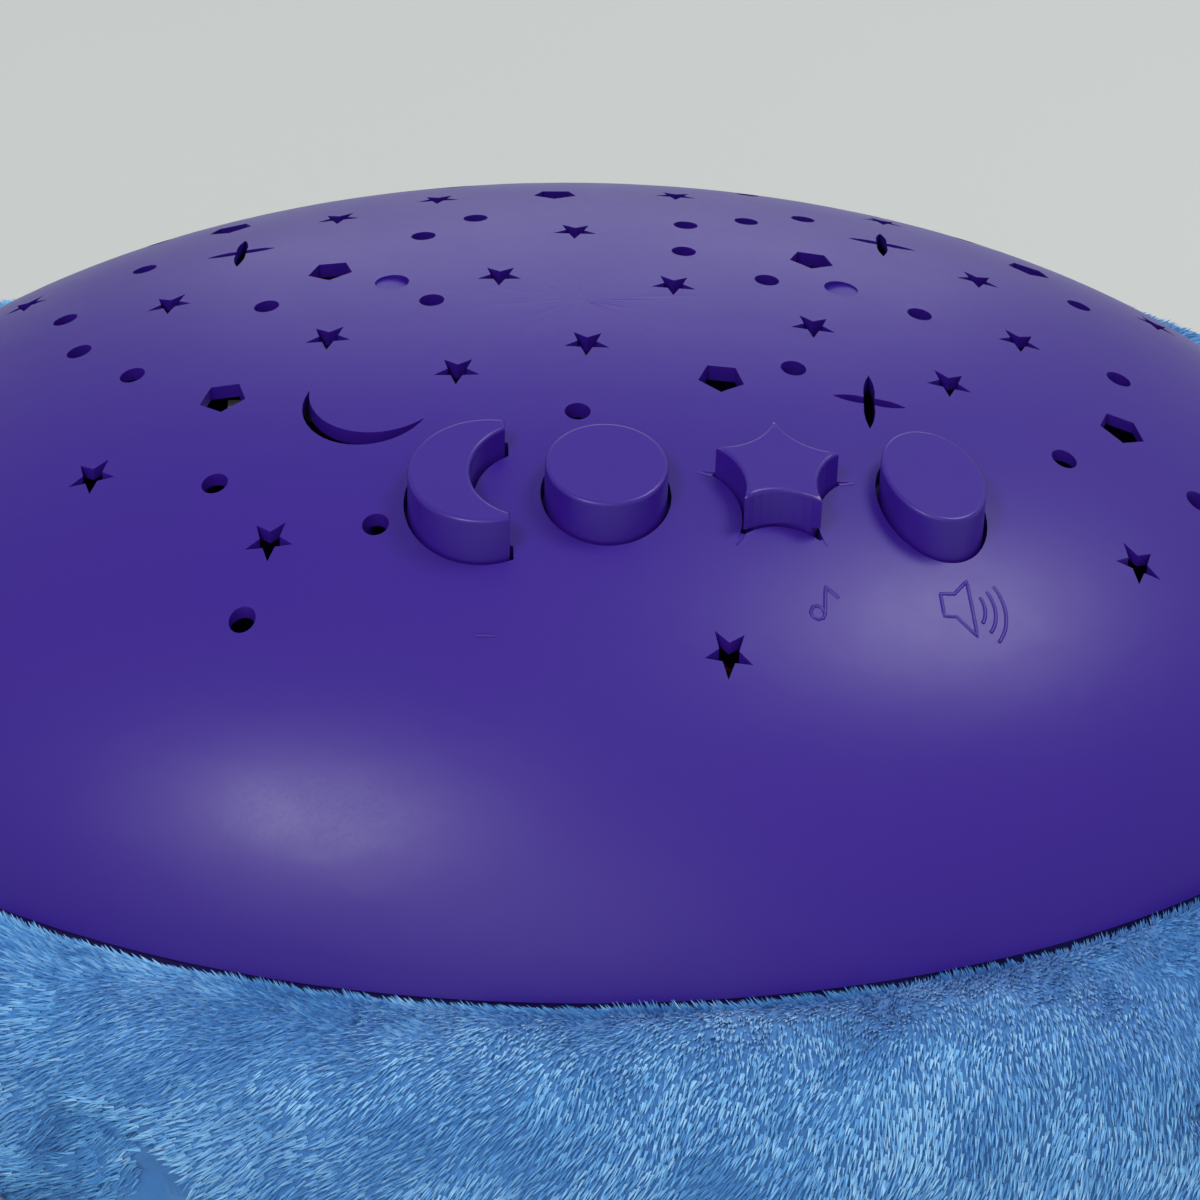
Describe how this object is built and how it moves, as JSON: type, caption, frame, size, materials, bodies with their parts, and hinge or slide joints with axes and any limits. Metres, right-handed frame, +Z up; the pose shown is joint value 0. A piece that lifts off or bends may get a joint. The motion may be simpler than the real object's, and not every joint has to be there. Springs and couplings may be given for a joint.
{
  "type": "star night light projector",
  "caption": "Plush turtle night light: a perforated plastic dome with push buttons over lamps, speaker and battery tray in a stuffed body with head, flippers and tail.",
  "frame": {"origin": "centre of the whole toy's bounding box, on the surface that it rests on; the dome's own axis stands at X = +15 mm", "axes": "+Z up; the head points to -X and the row of buttons faces -Y"},
  "size_m": [0.342, 0.335, 0.0992],
  "materials": {
    "purple_plastic": "moulded ABS, semi-matt, fine grain",
    "tray_plastic": "moulded ABS, matt",
    "white_plastic": "moulded ABS, satin",
    "blue_plush": "short-pile polyester plush",
    "pad_rubber": "silicone rubber",
    "board_green": "glass-fibre circuit board with solder mask",
    "black_plastic": "moulded epoxy",
    "zinc_steel": "zinc plated",
    "contact_steel": "nickel plated spring steel",
    "cell_jacket": "printed shrink sleeve, plain",
    "amber_lens": "tinted epoxy",
    "green_lens": "tinted epoxy",
    "blue_lens": "tinted epoxy",
    "speaker_steel": "black zinc",
    "cone_paper": "pressed paper",
    "magnet_ferrite": "ferrite",
    "lead_skin": "PVC insulated wire"
  },
  "bodies": {
    "night_light": {"star_dome": "purple_plastic", "moon_button_pad": "pad_rubber", "round_button_pad": "pad_rubber", "star_button_pad": "pad_rubber", "oval_button_pad": "pad_rubber", "button_board": "board_green", "base_tray": "tray_plastic", "batteries": "cell_jacket", "battery_contacts": "contact_steel", "main_board": "board_green", "controller_chip": "black_plastic", "supply_capacitors": "black_plastic", "lamp_bracket": "white_plastic", "lamp_board": "board_green", "amber_lamp": "amber_lens", "green_lamp": "green_lens", "blue_lamp": "blue_lens", "speaker_frame": "speaker_steel", "speaker_cone": "cone_paper", "speaker_magnet": "magnet_ferrite", "case_screws": "zinc_steel", "button_board_screws": "zinc_steel", "main_board_screws": "zinc_steel", "bracket_screws": "zinc_steel", "speaker_screws": "zinc_steel", "battery_leads": "lead_skin", "speaker_leads": "lead_skin", "lamp_leads": "lead_skin", "button_leads": "lead_skin", "plush_body": "blue_plush", "front_left_flipper": "blue_plush", "front_right_flipper": "blue_plush", "rear_left_flipper": "blue_plush", "rear_right_flipper": "blue_plush", "plush_head": "blue_plush", "plush_tail": "blue_plush"},
    "moon_button_body": {"moon_button": "purple_plastic"},
    "round_button_body": {"round_button": "purple_plastic"},
    "star_button_body": {"star_button": "purple_plastic"},
    "oval_button_body": {"oval_button": "purple_plastic"},
    "battery_door_body": {"battery_door": "tray_plastic", "battery_door_screw": "zinc_steel"}
  },
  "joints": [
    {"name": "moon_button_press", "type": "slide", "parent": "night_light", "child": "moon_button_body", "axis": [0, 0, -1], "range_m": [0, 0.0015], "stiffness_N_per_m": 450, "springref_m": -0.001, "deforming": ["moon_button_pad"]},
    {"name": "round_button_press", "type": "slide", "parent": "night_light", "child": "round_button_body", "axis": [0, 0, -1], "range_m": [0, 0.0015], "stiffness_N_per_m": 450, "springref_m": -0.001, "deforming": ["round_button_pad"]},
    {"name": "star_button_press", "type": "slide", "parent": "night_light", "child": "star_button_body", "axis": [0, 0, -1], "range_m": [0, 0.0015], "stiffness_N_per_m": 450, "springref_m": -0.001, "deforming": ["star_button_pad"]},
    {"name": "oval_button_press", "type": "slide", "parent": "night_light", "child": "oval_button_body", "axis": [0, 0, -1], "range_m": [0, 0.0015], "stiffness_N_per_m": 450, "springref_m": -0.001, "deforming": ["oval_button_pad"]},
    {"name": "battery_door_hinge", "type": "hinge", "parent": "night_light", "child": "battery_door_body", "pos_m": [-0.0162, 0, 0.0048], "axis": [0, 1, 0], "range_deg": [0, 60]}
  ]
}
